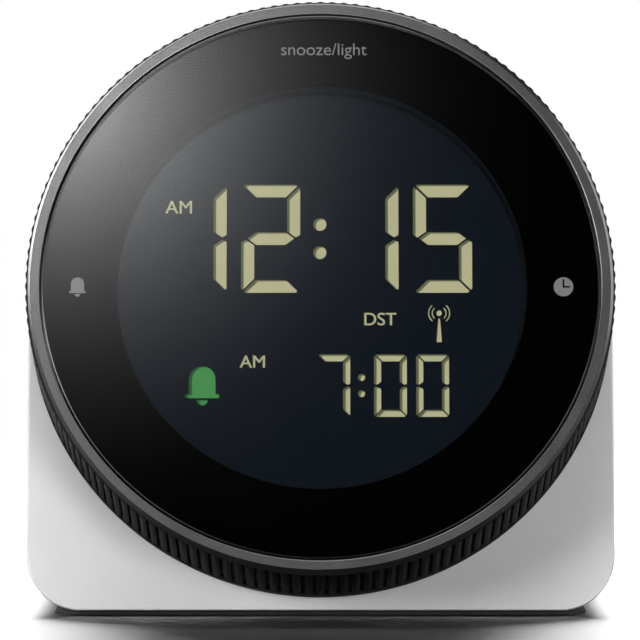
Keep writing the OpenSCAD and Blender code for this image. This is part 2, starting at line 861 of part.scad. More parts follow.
module key_screws() {
    top = key_board_d + board_t;
    color("Silver") on_back() for (s = [-1, 1]) translate([s * key_post_x, key_z, 0]) {
        disc(small_screw_r, key_board_d - 2.4, top + 0.1);
        difference() {
            disc(small_head_r, top, top + 1);
            translate([0, 0, top + 1]) cube([1.8, 0.4, 0.9], center = true);
        }
    }
}

// A lead from p0 along d0 to p1, which it meets along d1
function bend(p0, p1, p2, p3, t) = pow(1 - t, 3) * p0 + 3 * pow(1 - t, 2) * t * p1 + 3 * (1 - t) * t * t * p2
    + pow(t, 3) * p3;
function slope(p0, p1, p2, p3, t) = pow(1 - t, 2) * (p1 - p0) + 2 * (1 - t) * t * (p2 - p1) + t * t * (p3 - p2);

module lead(p0, d0, p1, d1) {
    steps = 14;
    a = p0 + d0;
    b = p1 + d1;
    pts = [for (i = [0 : steps]) bend(p0, a, b, p1, i / steps)];
    along = [for (i = [0 : steps]) let (s = slope(p0, a, b, p1, i / steps)) s / norm(s)];
    side = [for (s = along) let (c = cross([1, 0, 0], s)) c / norm(c)];
    wire(pts, [for (i = [0 : steps]) cross(along[i], -side[i])], side, lead_r);
}

// Direction out of the main board's rear, times a length
function off_board(l) = [0, l * cos_t, -l * sin_t];

module battery_leads() {
    x = bay_half - contact_t / 2;
    y = bay_front_y - bay_wall - tab_reach;
    color("Red") for (i = [0, 1])
        lead([x, y, cell_zs[i]], [0, -short_run, 0], on_face_point(battery_leads_x, battery_leads_v[i], board_w),
            off_board(lead_run));
}

module sounder_leads() {
    y = rear_y - sound_d - disc_t - ceramic_t;
    color("Black") for (x = [-4 * lead_r, 4 * lead_r])
        lead([x, y, sound_z], [0, -lead_run, 0], on_face_point(x, sounder_leads_v, board_w), off_board(lead_run));
}

module aerial_leads() {
    x = coil_l / 2 - 3;
    color("Orange") for (s = [-x, x])
        lead([s, rod_y, rod_z + coil_r], [0, 0, short_run], on_face_point(s, aerial_leads_v, board_w),
            off_board(short_run));
}

module key_ribbon() {
    steps = 12;
    p0 = [rear_y - key_board_d - board_t, key_z];
    f = on_face_point(0, ribbon_v, board_w);
    p3 = [f[1], f[2]];
    p1 = p0 + [-ribbon_run, 0];
    p2 = p3 + ribbon_run * [cos_t, -sin_t];
    mids = [for (i = [0 : steps]) bend(p0, p1, p2, p3, i / steps)];
    sides = [for (i = [0 : steps]) let (s = slope(p0, p1, p2, p3, i / steps)) [-s[1], s[0]] / norm(s) * ribbon_t / 2];
    color("Gray") translate([-ribbon_half, 0, 0]) rotate([90, 0, 90]) linear_extrude(2 * ribbon_half)
        polygon(concat([for (i = [0 : steps]) mids[i] + sides[i]],
            [for (i = [steps : -1 : 0]) mids[i] - sides[i]]));
}

housing();
rear_cover();
foot_pad();
cover_screws();
ring_carrier();
carrier_screws();
grip_ring();
ring_gear();
front_lens();
lens_mask();
touch_foil();
lcd_front_film();
lcd_front_glass();
lcd_segments();
lcd_seal();
lcd_rear_glass();
lcd_rear_film();
light_guide();
reflector_sheet();
back_lights();
zebra_strip();
main_board();
board_screws();
control_chip();
quartz_crystal();
radio_receiver();
encoder_body();
encoder_shaft();
encoder_pinion();
aerial_rod();
aerial_coil();
sounder_disc();
sounder_ceramic();
cells();
cell_springs();
cell_contacts();
battery_door();
button_receive();
button_zone();
button_reset();
key_board();
key_switches();
key_screws();
battery_leads();
sounder_leads();
aerial_leads();
key_ribbon();
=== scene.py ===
"""Digital alarm clock with a turning ring: the looks of each piece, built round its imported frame.

Metres, +Z up, the front towards -Y.
"""

import json
import math

import bmesh
import bpy
from bpy.props import FloatProperty, FloatVectorProperty, IntProperty, PointerProperty
from mathutils import Matrix, Vector


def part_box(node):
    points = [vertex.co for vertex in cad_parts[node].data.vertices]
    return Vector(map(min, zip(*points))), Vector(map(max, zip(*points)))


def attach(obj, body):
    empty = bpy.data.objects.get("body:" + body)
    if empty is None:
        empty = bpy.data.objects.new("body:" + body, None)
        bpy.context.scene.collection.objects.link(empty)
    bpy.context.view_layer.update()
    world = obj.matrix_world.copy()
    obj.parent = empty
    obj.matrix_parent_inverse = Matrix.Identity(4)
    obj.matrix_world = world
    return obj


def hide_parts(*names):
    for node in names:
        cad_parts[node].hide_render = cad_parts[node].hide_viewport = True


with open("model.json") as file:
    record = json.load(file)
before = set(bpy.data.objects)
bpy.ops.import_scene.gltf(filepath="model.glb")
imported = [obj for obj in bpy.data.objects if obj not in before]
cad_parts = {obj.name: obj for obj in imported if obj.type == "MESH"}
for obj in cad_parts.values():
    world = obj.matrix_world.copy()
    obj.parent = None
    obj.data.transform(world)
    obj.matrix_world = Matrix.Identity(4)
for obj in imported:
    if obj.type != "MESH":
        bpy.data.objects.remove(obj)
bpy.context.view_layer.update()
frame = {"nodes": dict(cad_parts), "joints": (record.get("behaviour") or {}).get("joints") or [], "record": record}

bl_info = {
    "name": "Digital alarm clock",
    "version": (1, 0, 0),
    "blender": (4, 5, 0),
    "location": "View3D > Sidebar > Clock",
    "description": "Makes the looks of a digital alarm clock with a turning ring",
    "category": "Object",
}

MM = 0.001
MERGE = 1e-6
NODES = frame["nodes"]
JOINTS = {joint["name"]: joint for joint in frame["joints"]}

# Frame of the clock's face: across, up the face, out of the face
AXIS_POINT = Vector(JOINTS["ring_turn"]["pos_m"])
FACE_NORMAL = Vector(JOINTS["ring_turn"]["axis"])
FACE_UP = Vector((0, FACE_NORMAL.z, -FACE_NORMAL.y))
FACE_TURN = Matrix((Vector((1, 0, 0)), FACE_UP, FACE_NORMAL)).transposed().to_4x4()
FACE = Matrix.Translation(AXIS_POINT) @ FACE_TURN


def face_reach(node):
    """Lowest and highest place of a CAD node along the face's normal."""
    heights = [(vertex.co - AXIS_POINT).dot(FACE_NORMAL) for vertex in NODES[node].data.vertices]
    return min(heights), max(heights)


def face_radii(node):
    """Smallest and largest distance of a CAD node from the ring's axis."""
    spokes = [(vertex.co - AXIS_POINT).cross(FACE_NORMAL).length for vertex in NODES[node].data.vertices]
    return min(spokes), max(spokes)


RING_BACK, RING_FRONT = face_reach("grip_ring")
RING_RIB, RING_RADIUS = face_radii("grip_ring")
GEAR_FRONT = face_reach("ring_gear")[1]
GEAR_RADIUS = face_radii("ring_gear")[1]
FLANGE_FRONT = face_reach("ring_carrier")[1]
LENS_BACK, LENS_FRONT = face_reach("front_lens")
LENS_RADIUS = face_radii("front_lens")[1]
MASK_BACK = face_reach("lens_mask")[0]
WINDOW_RADIUS, MASK_RADIUS = face_radii("lens_mask")
SEGMENT_BACK, SEGMENT_FRONT = face_reach("lcd_segments")
PART_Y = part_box("housing")[1].y
REAR_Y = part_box("rear_cover")[1].y

# Frame of the rear face: across as seen from behind, up, out of the face
BACK_TURN = Matrix(((-1, 0, 0), (0, 0, 1), (0, 1, 0))).to_4x4()

# Steps round large and small turned pieces
LARGE_STEPS = 240
SMALL_STEPS = 64


def length(name, description, default):
    return FloatProperty(name=name, description=description, default=default, unit="LENGTH", precision=5)


def colour(name, description, default):
    return FloatVectorProperty(
        name=name, description=description, default=default, subtype="COLOR", min=0, max=1
    )


def power(name, description, default):
    return FloatProperty(name=name, description=description, default=default, subtype="POWER")


class ClockSizes(bpy.types.PropertyGroup):
    """Sizes of the clock's finished edges and marks"""

    edge_round: length("Edge round", "Rounding of the housing's front edge", 0.4 * MM)
    seam_round: length("Seam round", "Rounding of edges along seams and openings", 0.15 * MM)
    groove_count: IntProperty(name="Grooves", description="Number of grip grooves", default=156, min=12)
    groove_depth: length("Groove depth", "Depth of one grip groove", 0.45 * MM)
    land_round: length("Land round", "Drop of a land's crown towards its grooves", 0.14 * MM)
    land_drop: length("Land drop", "How far the lands lie within the ring's full radius", 0.05 * MM)
    collar_drop: length("Collar drop", "How far the collar's rear edge lies within it", 0.38 * MM)
    front_drop: length("Front drop", "How far the edge of the ring's front lies within it", 0.75 * MM)
    collar_depth: length("Collar depth", "Depth of the bevel and the collar before the grip", 0.95 * MM)
    rim_depth: length("Rim depth", "Depth of the ring's plain rim", 1.6 * MM)
    notch: length("Notch", "Reach of each groove into the bevel, half the bevel's depth", 0.15 * MM)
    rib_setback: length("Rib setback", "From the front of the carrier's flange to the ring's rib", 1.7 * MM)
    lens_gap: length("Lens gap", "Gap between lens and ring", 0.27 * MM)
    lens_chamfer: length("Lens chamfer", "Width of the lens's chamfer", 0.12 * MM)
    foot_draft: length("Foot draft", "Slope of the foot's ends", 1.6 * MM)
    ink: length("Ink", "Thickness of printed marks", 0.02 * MM)


class ClockColours(bpy.types.PropertyGroup):
    """Colours of the clock's surfaces"""

    casing: colour("Casing", "White of the housing", (0.78, 0.78, 0.775))
    ring: colour("Ring", "Dark metallic grey of the turning ring", (0.29, 0.29, 0.295))
    collar: colour("Collar", "Dark grey of the ring's smooth collar", (0.02, 0.02, 0.021))
    grip: colour("Grip", "Black of the ring's grooved grip", (0.018, 0.018, 0.0185))
    # The navy glows: painted light on the display's ground
    display: colour("Display", "Navy of the display's ground", (0.004, 0.0068, 0.0108))
    segment: colour("Segment", "Cream of lit segments", (0.56, 0.53, 0.31))
    # Olive: painted shade, glowing copies behind the segments, words and mast along their left and top edges
    segment_painted_shade: colour("Segment edge", "Olive of the segments' shaded edges", (0.14, 0.15, 0.075))
    bell: colour("Bell", "Green of the alarm bell", (0.075, 0.31, 0.085))
    # Dark green: painted shade, a glowing copy behind the bell along its left and top edges
    bell_painted_shade: colour("Bell edge", "Dark green of the bell's shaded edge", (0.025, 0.1, 0.03))
    # The marks' grey glows: painted light on the ink
    mark: colour("Mark", "Grey of the marks on the lens", (0.21, 0.21, 0.21))
    foot: colour("Foot", "Black of the rubber foot", (0.045, 0.045, 0.047))
    cell: colour("Cell", "Green of the cells' sleeves", (0.02, 0.16, 0.075))


class ClockStage(bpy.types.PropertyGroup):
    """Camera and lights"""

    distance: length("Distance", "From the camera to the face's middle", 0.76)
    elevation: FloatProperty(
        name="Elevation", description="Camera's height", default=math.radians(1.8), subtype="ANGLE"
    )
    focal_length: FloatProperty(name="Focal length", description="In millimetres", default=331.0)
    shift: FloatVectorProperty(
        name="Shift", description="Picture's shift across and up", default=(-0.00075, -0.012), size=2
    )
    key_power: power("Key power", "Soft light at the left", 7.2)
    glow_power: power("Glow power", "Small light whose reflection shades the lens", 4.0)
    top_power: power("Top power", "Soft light overhead", 9.5)
    fill_power: power("Fill power", "Low soft light at the right, not on the lens", 6.9)
    back_power: power("Back power", "Soft light above and behind", 5.0)
    side_power: power("Side power", "Soft light at each side", 3.6)
    edge_power: power("Edge power", "Lights behind, on the ring alone", 23.0)
    floor_power: power("Floor power", "Soft light on the floor alone", 115.0)


def deselect_all():
    if bpy.context.mode != "OBJECT":
        bpy.ops.object.mode_set(mode="OBJECT")
    bpy.ops.object.select_all(action="DESELECT")


def make_active(piece):
    deselect_all()
    bpy.context.view_layer.objects.active = piece
    piece.select_set(True)


def select_mesh():
    bpy.ops.mesh.select_all(action="SELECT")


def leave_edit():
    bpy.ops.object.mode_set(mode="OBJECT")


def edit(piece):
    make_active(piece)
    bpy.ops.object.mode_set(mode="EDIT")


def choose(piece, kind, test):
    """In edit mode, selects the vertices, edges or faces that pass a test."""
    bpy.ops.mesh.select_mode(type=kind)
    bpy.ops.mesh.select_all(action="DESELECT")
    shape = bmesh.from_edit_mesh(piece.data)
    items = {"VERT": shape.verts, "EDGE": shape.edges, "FACE": shape.faces}[kind]
    chosen = [item for item in items if test(item)]
    if not chosen:
        raise RuntimeError(f"{piece.name}: nothing to select")
    for item in chosen:
        item.select_set(True)
    shape.select_flush_mode()
    bmesh.update_edit_mesh(piece.data)


def modify(piece, kind, **settings):
    """Adds a modifier and applies it."""
    make_active(piece)
    bpy.ops.object.modifier_add(type=kind)
    modifier = piece.modifiers[-1]
    for name, value in settings.items():
        setattr(modifier, name, value)
    bpy.ops.object.modifier_apply(modifier=modifier.name)


def place(piece, matrix):
    """Puts a piece made at the origin in its place, which goes into its mesh."""
    make_active(piece)
    piece.matrix_world = matrix
    bpy.ops.object.transform_apply(location=True, rotation=True, scale=True)


def rescale(piece, scale):
    """Makes a mesh larger or smaller: in metres its faces are too small to be weighed or cut exactly."""
    piece.scale = (scale, scale, scale)
    bpy.ops.object.transform_apply(location=False, rotation=False, scale=True)


def smooth(piece, angle=30):
    """Smooth shading up to an angle in degrees, with flat faces kept flat."""
    make_active(piece)
    bpy.ops.object.shade_smooth_by_angle(angle=math.radians(angle))
    rescale(piece, 1 / MM)
    modify(piece, "WEIGHTED_NORMAL", keep_sharp=True, weight=100, thresh=0.0001)
    rescale(piece, MM)


def join(name, pieces):
    make_active(pieces[0])
    for piece in pieces:
        piece.select_set(True)
    bpy.ops.object.join()
    pieces[0].name = name
    return pieces[0]


# Materials by slot of the record, made by the first operator
FINISHES = {}


def dress(piece, body, slot, *nodes, material=None):
    """Gives a finished piece its body and a material, by default its slot's, and hides the CAD nodes that it
    stands for.
    """
    piece.data.materials.clear()
    piece.data.materials.append(material or FINISHES[slot])
    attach(piece, body)
    if nodes:
        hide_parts(*nodes)


def turned(name, profile, steps, rounds=()):
    """A piece turned on the z axis. The profile lists (radius, height); rounds lists (corner, radius)."""
    deselect_all()
    bpy.ops.mesh.primitive_plane_add(size=MM)
    piece = bpy.context.object
    piece.name = name
    points = [Vector((radius, 0, height)) for radius, height in profile]
    bpy.ops.object.mode_set(mode="EDIT")
    bpy.ops.mesh.select_mode(type="VERT")
    select_mesh()
    bpy.ops.mesh.merge(type="CENTER")
    bpy.ops.transform.translate(value=points[0])
    for start, end in zip(points, points[1:]):
        bpy.ops.mesh.extrude_region_move(TRANSFORM_OT_translate={"value": end - start})
    select_mesh()
    bpy.ops.mesh.edge_face_add()
    for corner, radius in rounds:
        choose(piece, "VERT", lambda vertex: (vertex.co - points[corner]).length < MERGE)
        bpy.ops.mesh.bevel(offset=radius, segments=4, affect="VERTICES", offset_type="OFFSET")
    bpy.ops.mesh.select_mode(type="VERT")
    select_mesh()
    bpy.ops.mesh.delete(type="ONLY_FACE")
    if min(radius for radius, height in profile) < MERGE:
        choose(piece, "EDGE", lambda edge: max(vertex.co.x for vertex in edge.verts) < MERGE)
        bpy.ops.mesh.delete(type="EDGE")
    select_mesh()
    bpy.ops.mesh.spin(steps=steps, angle=2 * math.pi, center=(0, 0, 0), axis=(0, 0, 1))
    select_mesh()
    bpy.ops.mesh.remove_doubles(threshold=MERGE)
    bpy.ops.mesh.normals_make_consistent(inside=False)
    leave_edit()
    return piece


def copy_of(node, name):
    """A copy of a CAD node with its triangles merged and its flat faces made whole, in edit mode."""
    piece = bpy.data.objects.new(name, NODES[node].data.copy())
    bpy.context.collection.objects.link(piece)
    edit(piece)
    select_mesh()
    bpy.ops.mesh.remove_doubles(threshold=MERGE)
    bpy.ops.mesh.dissolve_limited(angle_limit=math.radians(0.4))
    return piece


def is_corner(edge, angle=40):
    """Whether an edge joins two faces at more than an angle in degrees."""
    return len(edge.link_faces) == 2 and edge.calc_face_angle() > math.radians(angle)


def corner_at(y):
    """A test for corner edges that lie in the upright plane at y."""

    def test(edge):
        return is_corner(edge) and all(abs(vertex.co.y - y) < MERGE for vertex in edge.verts)

    return test


def bevel_edges(piece, width, segments, test):
    choose(piece, "EDGE", test)
    bpy.ops.mesh.bevel(offset=width, segments=segments, affect="EDGES", offset_type="OFFSET")


def finish_faces(piece, material, test):
    """Gives a material to the faces whose middle passes a test of its distance from the axis and height."""
    to_face = FACE.inverted()

    def chosen(face):
        spot = to_face @ face.calc_center_median()
        return test(spot.xy.length, spot.z)

    piece.data.materials.append(material)
    edit(piece)
    choose(piece, "FACE", chosen)
    piece.active_material_index = len(piece.data.materials) - 1
    bpy.ops.object.material_slot_assign()
    leave_edit()


def close_seams(piece):
    """Merges the doubled edges that a curve leaves when it is made a mesh."""
    edit(piece)
    bpy.ops.mesh.select_mode(type="VERT")
    select_mesh()
    bpy.ops.mesh.remove_doubles(threshold=MERGE)
    bpy.ops.mesh.normals_make_consistent(inside=False)
    leave_edit()


def lit_part(piece, name, shift):
    """Leaves of each loose part of a piece what it shares with its own shifted copy."""
    edit(piece)
    select_mesh()
    bpy.ops.mesh.separate(type="LOOSE")
    leave_edit()
    parts = list(bpy.context.selected_objects)
    for part in parts:
        make_active(part)
        bpy.ops.object.duplicate()
        cutter = bpy.context.object
        place(cutter, Matrix.Translation(FACE_TURN.to_3x3() @ Vector(shift)))
        for shape in (cutter, part):
            make_active(shape)
            rescale(shape, 1 / MM)
        modify(part, "BOOLEAN", operation="INTERSECT", solver="EXACT", object=cutter)
        rescale(part, MM)
        bpy.data.objects.remove(cutter)
    return join(name, parts)


def meshed(name, curve):
    """A mesh piece made from a curve."""
    piece = bpy.data.objects.new(name, curve)
    bpy.context.collection.objects.link(piece)
    make_active(piece)
    bpy.ops.object.convert(target="MESH")
    return piece


def drawn(name, outlines, height, thickness):
    """A flat shape on the face from closed outlines of (across, up) points. An inner outline is a hole."""
    curve = bpy.data.curves.new(name, "CURVE")
    curve.dimensions = "2D"
    curve.fill_mode = "BOTH"
    curve.extrude = thickness / 2
    for outline in outlines:
        spline = curve.splines.new("POLY")
        spline.points.add(len(outline) - 1)
        for point, (across, up) in zip(spline.points, outline):
            point.co = (across, up, 0, 1)
        spline.use_cyclic_u = True
    piece = meshed(name, curve)
    close_seams(piece)
    place(piece, FACE @ Matrix.Translation((0, 0, height + thickness / 2)))
    return piece


def lettered(name, words, size, middle, height, thickness, weight=0.0):
    """Words on the face in the built-in font, centred on a point. Weight widens each stroke sideways."""
    copies = []
    for shift in (-weight, 0, weight) if weight else (0,):
        deselect_all()
        bpy.ops.object.text_add()
        piece = bpy.context.object
        piece.data.body = words
        piece.data.size = size
        piece.data.extrude = thickness / 2
        piece.data.align_x = "CENTER"
        piece.data.align_y = "CENTER"
        bpy.ops.object.convert(target="MESH")
        close_seams(piece)
        place(piece, FACE @ Matrix.Translation((middle[0] + shift, middle[1], height + thickness / 2)))
        copies.append(piece)
    return join(name, copies)


def arc(middle, radius, start, end, steps=24):
    """Points along an arc, from and to an angle in degrees."""
    angles = [math.radians(start + (end - start) * i / steps) for i in range(steps + 1)]
    return [(middle[0] + radius * math.cos(a), middle[1] + radius * math.sin(a)) for a in angles]


def bell_outlines(middle, width):
    """Outlines of an alarm bell, centred on a point: dome on a flat lip, and the clapper below."""
    x, y = middle
    dome = 0.395 * width
    crown = y + 0.18 * width
    lip_top = y - 0.265 * width
    lip = y - 0.385 * width
    bell = arc((x, crown), dome, 0, 180)
    bell += [(x - dome, lip_top), (x - 0.5 * width, lip_top), (x - 0.5 * width, lip)]
    bell += [(x + 0.5 * width, lip), (x + 0.5 * width, lip_top), (x + dome, lip_top)]
    clapper = arc((x, lip - 0.05 * width), 0.17 * width, 180, 360, 12)
    return [bell, clapper]


def tower_outlines(dot):
    """Outlines of a mast under a dot, with two waves to each side."""
    x, y = dot
    top, foot = y - 0.7 * MM, y - 3.77 * MM
    top_half, foot_half = 0.13 * MM, 0.37 * MM
    dot_radius = 0.37 * MM
    wave_radii = (0.88 * MM, 1.34 * MM)
    half_stroke = 0.09 * MM
    half_sweep = 50
    outlines = [
        arc(dot, dot_radius, 0, 345, 23),
        [(x - top_half, top), (x - foot_half, foot), (x + foot_half, foot), (x + top_half, top)],
    ]
    for radius in wave_radii:
        for turn in (0, 180):
            outer = arc(dot, radius + half_stroke, turn - half_sweep, turn + half_sweep, 12)
            inner = arc(dot, radius - half_stroke, turn + half_sweep, turn - half_sweep, 12)
            outlines.append(outer + inner)
    return outlines


def principled(name, values):
    """A material whose plain values sit on its shader's own sockets."""
    material = bpy.data.materials.new(name)
    material.use_nodes = True
    shader = material.node_tree.nodes["Principled BSDF"]
    for socket, value in values.items():
        shader.inputs[socket].default_value = value
    return material


def noise(tree, size, detail=3.0):
    """Noise with grains of about a size in metres."""
    coords = tree.nodes.new("ShaderNodeTexCoord")
    texture = tree.nodes.new("ShaderNodeTexNoise")
    texture.inputs["Scale"].default_value = 1 / size
    texture.inputs["Detail"].default_value = detail
    tree.links.new(coords.outputs["Object"], texture.inputs["Vector"])
    return texture


def mottle(material, tone, spread, size, socket="Base Color", reach=(0.3, 0.7)):
    """Colour of one socket that wanders a little about a tone, over a reach of the noise."""
    tree = material.node_tree
    ramp = tree.nodes.new("ShaderNodeValToRGB")
    for element, place_on_ramp, scale in zip(ramp.color_ramp.elements, reach, (1 - spread, 1 + spread)):
        element.position = place_on_ramp
        element.color = (*[min(1, channel * scale) for channel in tone], 1)
    tree.links.new(noise(tree, size).outputs["Fac"], ramp.inputs["Fac"])
    tree.links.new(ramp.outputs["Color"], tree.nodes["Principled BSDF"].inputs[socket])


def grain(material, size, height, strength=0.4):
    """Fine moulded or cast texture."""
    tree = material.node_tree
    bump = tree.nodes.new("ShaderNodeBump")
    bump.inputs["Strength"].default_value = strength
    bump.inputs["Distance"].default_value = height
    tree.links.new(noise(tree, size, 2.0).outputs["Fac"], bump.inputs["Height"])
    tree.links.new(bump.outputs["Normal"], tree.nodes["Principled BSDF"].inputs["Normal"])


def handled(material, low, high, size):
    """Roughness that varies between two values, as on a handled surface."""
    tree = material.node_tree
    spread = tree.nodes.new("ShaderNodeMapRange")
    spread.inputs["To Min"].default_value = low
    spread.inputs["To Max"].default_value = high
    tree.links.new(noise(tree, size).outputs["Fac"], spread.inputs["Value"])
    tree.links.new(spread.outputs["Result"], tree.nodes["Principled BSDF"].inputs["Roughness"])


def moulded(name, tone, roughness, grain_size=0.18 * MM, height=0.004 * MM, gloss=0.5, metallic=0.0):
    """Moulded plastic or rubber with a fine even texture; metallic is for a metallic lacquer."""
    material = principled(name, {"Specular IOR Level": gloss, "Metallic": metallic})
    mottle(material, tone, 0.015, 4 * MM)
    handled(material, roughness - 0.04, roughness + 0.04, 6 * MM)
    grain(material, grain_size, height)
    return material


def metal(name, tone, roughness):
    """Drawn or pressed metal with fine scratches."""
    material = principled(name, {"Metallic": 1.0})
    mottle(material, tone, 0.08, 1.5 * MM)
    handled(material, roughness - 0.08, roughness + 0.1, 0.4 * MM)
    grain(material, 0.1 * MM, 0.002 * MM)
    return material


def glowing(name, tone, gloss=0.0):
    """A layer that glows in its own tone, with a faint unevenness: the back-lit segments and bell, and painted
    light or shade on the display's ground, the shaded copies and the lens marks.
    """
    values = {"Emission Strength": 1.0, "Roughness": 0.06, "Specular IOR Level": gloss}
    material = principled(name, values)
    unlit_share = 0.1
    mottle(material, [channel * unlit_share for channel in tone], 0.1, 3 * MM)
    mottle(material, tone, 0.06, 5 * MM, "Emission Color", (0, 1))
    return material


def clear_plate(name, tone, alpha):
    """A clear film or glass plate inside the display."""
    material = principled(name, {"Alpha": alpha, "Roughness": 0.25, "Specular IOR Level": 0.3})
    mottle(material, tone, 0.05, 5 * MM)
    return material


def circuit_board(name, tone):
    """Green board with paler copper tracks under its lacquer."""
    material = principled(name, {"Roughness": 0.35})
    tree = material.node_tree
    bricks = tree.nodes.new("ShaderNodeTexBrick")
    coords = tree.nodes.new("ShaderNodeTexCoord")
    bricks.inputs["Scale"].default_value = 160
    bricks.inputs["Mortar Size"].default_value = 0.03
    bricks.inputs["Color1"].default_value = (*tone, 1)
    bricks.inputs["Color2"].default_value = (*[channel * 1.15 for channel in tone], 1)
    bricks.inputs["Mortar"].default_value = (*[channel * 2.2 for channel in tone], 1)
    tree.links.new(coords.outputs["Object"], bricks.inputs["Vector"])
    tree.links.new(bricks.outputs["Color"], tree.nodes["Principled BSDF"].inputs["Base Color"])
    grain(material, 0.3 * MM, 0.003 * MM)
    return material


def lens_material():
    """Clear polished lens, its surface faintly soft."""
    material = principled("Lens", {"Transmission Weight": 1.0, "IOR": 1.49, "Roughness": 0.015})
    mottle(material, (0.92, 0.94, 0.96), 0.01, 20 * MM)
    return material


def make_finishes(colours):
    """One material for each of the record's slots."""
    return {
        "white_plastic": moulded("Casing", tuple(colours.casing), 0.4),
        "ring_grey": moulded("Ring", tuple(colours.ring), 0.2, 0.12 * MM, 0.006 * MM, metallic=0.9),
        "black_plastic": moulded("Black carrier", (0.02, 0.02, 0.021), 0.6),
        "clear_lens": lens_material(),
        "black_print": moulded("Border print", (0.002, 0.002, 0.002), 0.7, gloss=0.0),
        "foil": moulded("Touch foil", (0.3, 0.18, 0.04), 0.45),
        "display_film": clear_plate("Display film", (0.02, 0.025, 0.04), 0.06),
        "display_glass": clear_plate("Display glass", (0.05, 0.06, 0.07), 0.03),
        "segment": glowing("Segments", tuple(colours.segment)),
        "seal": moulded("Display seal", (0.012, 0.013, 0.015), 0.8, gloss=0.1),
        "clear_acrylic": moulded("Light guide", (0.75, 0.78, 0.8), 0.2),
        "white_sheet": moulded("Reflector sheet", (0.85, 0.85, 0.84), 0.7),
        "lamp": moulded("Lamps", (0.8, 0.75, 0.5), 0.3),
        "soft_rubber": moulded("Foot rubber", tuple(colours.foot), 0.75, 0.3 * MM, 0.02 * MM),
        "zebra_rubber": moulded("Zebra strip", (0.5, 0.28, 0.28), 0.7),
        "board": circuit_board("Board", (0.015, 0.09, 0.03)),
        "steel": metal("Steel", (0.6, 0.6, 0.61), 0.3),
        "chip": moulded("Chip", (0.012, 0.012, 0.013), 0.55),
        "acetal": moulded("Acetal", (0.72, 0.72, 0.68), 0.4),
        "ferrite": moulded("Ferrite", (0.02, 0.02, 0.022), 0.5, 0.4 * MM, 0.03 * MM),
        "copper_wire": metal("Copper winding", (0.7, 0.3, 0.14), 0.35),
        "brass": metal("Brass", (0.75, 0.55, 0.22), 0.3),
        "ceramic": moulded("Ceramic", (0.75, 0.74, 0.7), 0.5),
        "cell_can": moulded("Cell sleeve", tuple(colours.cell), 0.3),
        "lead_red": moulded("Red lead", (0.45, 0.015, 0.012), 0.5),
        "lead_black": moulded("Black lead", (0.012, 0.012, 0.012), 0.5),
        "lead_amber": moulded("Amber lead", (0.55, 0.2, 0.02), 0.45),
        "lead_grey": moulded("Grey ribbon", (0.2, 0.2, 0.21), 0.5),
        "button_grey": moulded("Buttons", (0.3, 0.3, 0.305), 0.42),
    }


class CLOCK_OT_finishes(bpy.types.Operator):
    """Makes the materials and puts each on the CAD nodes of its slot"""

    bl_idname = "clock.finishes"
    bl_label = "Finishes"

    def execute(self, context):
        FINISHES.update(make_finishes(context.scene.clock_colours))
        for subpart in frame["record"]["subparts"]:
            mesh = NODES[subpart["node"]].data
            mesh.materials.clear()
            mesh.materials.append(FINISHES[subpart["material_slot"]])
        # The display's navy ground glows: painted light in place of the lamps' light through the lens
        ground = glowing("Display ground", tuple(context.scene.clock_colours.display), 0.35)
        NODES["lcd_rear_glass"].data.materials[0] = ground
        return {"FINISHED"}


class CLOCK_OT_housing(bpy.types.Operator):
    """Housing with a rounded front edge and a fine seam behind"""

    bl_idname = "clock.housing"
    bl_label = "Housing"

    def execute(self, context):
        sizes = context.scene.clock_sizes
        piece = copy_of("housing", "casing_front")

        def on_front_edge(edge):
            ends = [vertex.co - AXIS_POINT for vertex in edge.verts]
            on_face = all(abs(end.dot(FACE_NORMAL)) < MERGE for end in ends)
            return on_face and is_corner(edge) and min(end.length for end in ends) > LENS_RADIUS

        bevel_edges(piece, sizes.edge_round, 4, on_front_edge)
        bevel_edges(piece, sizes.seam_round, 2, corner_at(PART_Y))
        smooth(piece)
        dress(piece, "clock", "white_plastic", "housing")
        return {"FINISHED"}


class CLOCK_OT_rear_cover(bpy.types.Operator):
    """Rear cover with softened rims round its openings"""

    bl_idname = "clock.rear_cover"
    bl_label = "Rear cover"

    def execute(self, context):
        sizes = context.scene.clock_sizes
        piece = copy_of("rear_cover", "casing_back")
        bevel_edges(piece, sizes.seam_round, 2, corner_at(REAR_Y))
        bevel_edges(piece, sizes.seam_round, 2, corner_at(PART_Y))
        smooth(piece)
        dress(piece, "clock", "white_plastic", "rear_cover")
        return {"FINISHED"}


class CLOCK_OT_battery_door(bpy.types.Operator):
    """Battery door with softened edges"""

    bl_idname = "clock.battery_door"
    bl_label = "Battery door"

    def execute(self, context):
        piece = copy_of("battery_door", "door_panel")
        bevel_edges(piece, context.scene.clock_sizes.seam_round, 2, is_corner)
        smooth(piece)
        dress(piece, "door", "white_plastic", "battery_door")
        return {"FINISHED"}


class CLOCK_OT_foot(bpy.types.Operator):
    """Rubber foot with softened edges and sloping ends"""

    bl_idname = "clock.foot"
    bl_label = "Foot"

    def execute(self, context):
        piece = copy_of("foot_pad", "rubber_foot")
        sizes = context.scene.clock_sizes
        low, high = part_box("foot_pad")
        bevel_edges(piece, sizes.seam_round, 3, is_corner)
        choose(piece, "VERT", lambda vertex: vertex.co.z > (low.z + high.z) / 2)
        bpy.ops.transform.resize(value=(1 - sizes.foot_draft / high.x, 1, 1), center_override=(0, 0, 0))
        smooth(piece)
        dress(piece, "clock", "soft_rubber", "foot_pad")
        return {"FINISHED"}


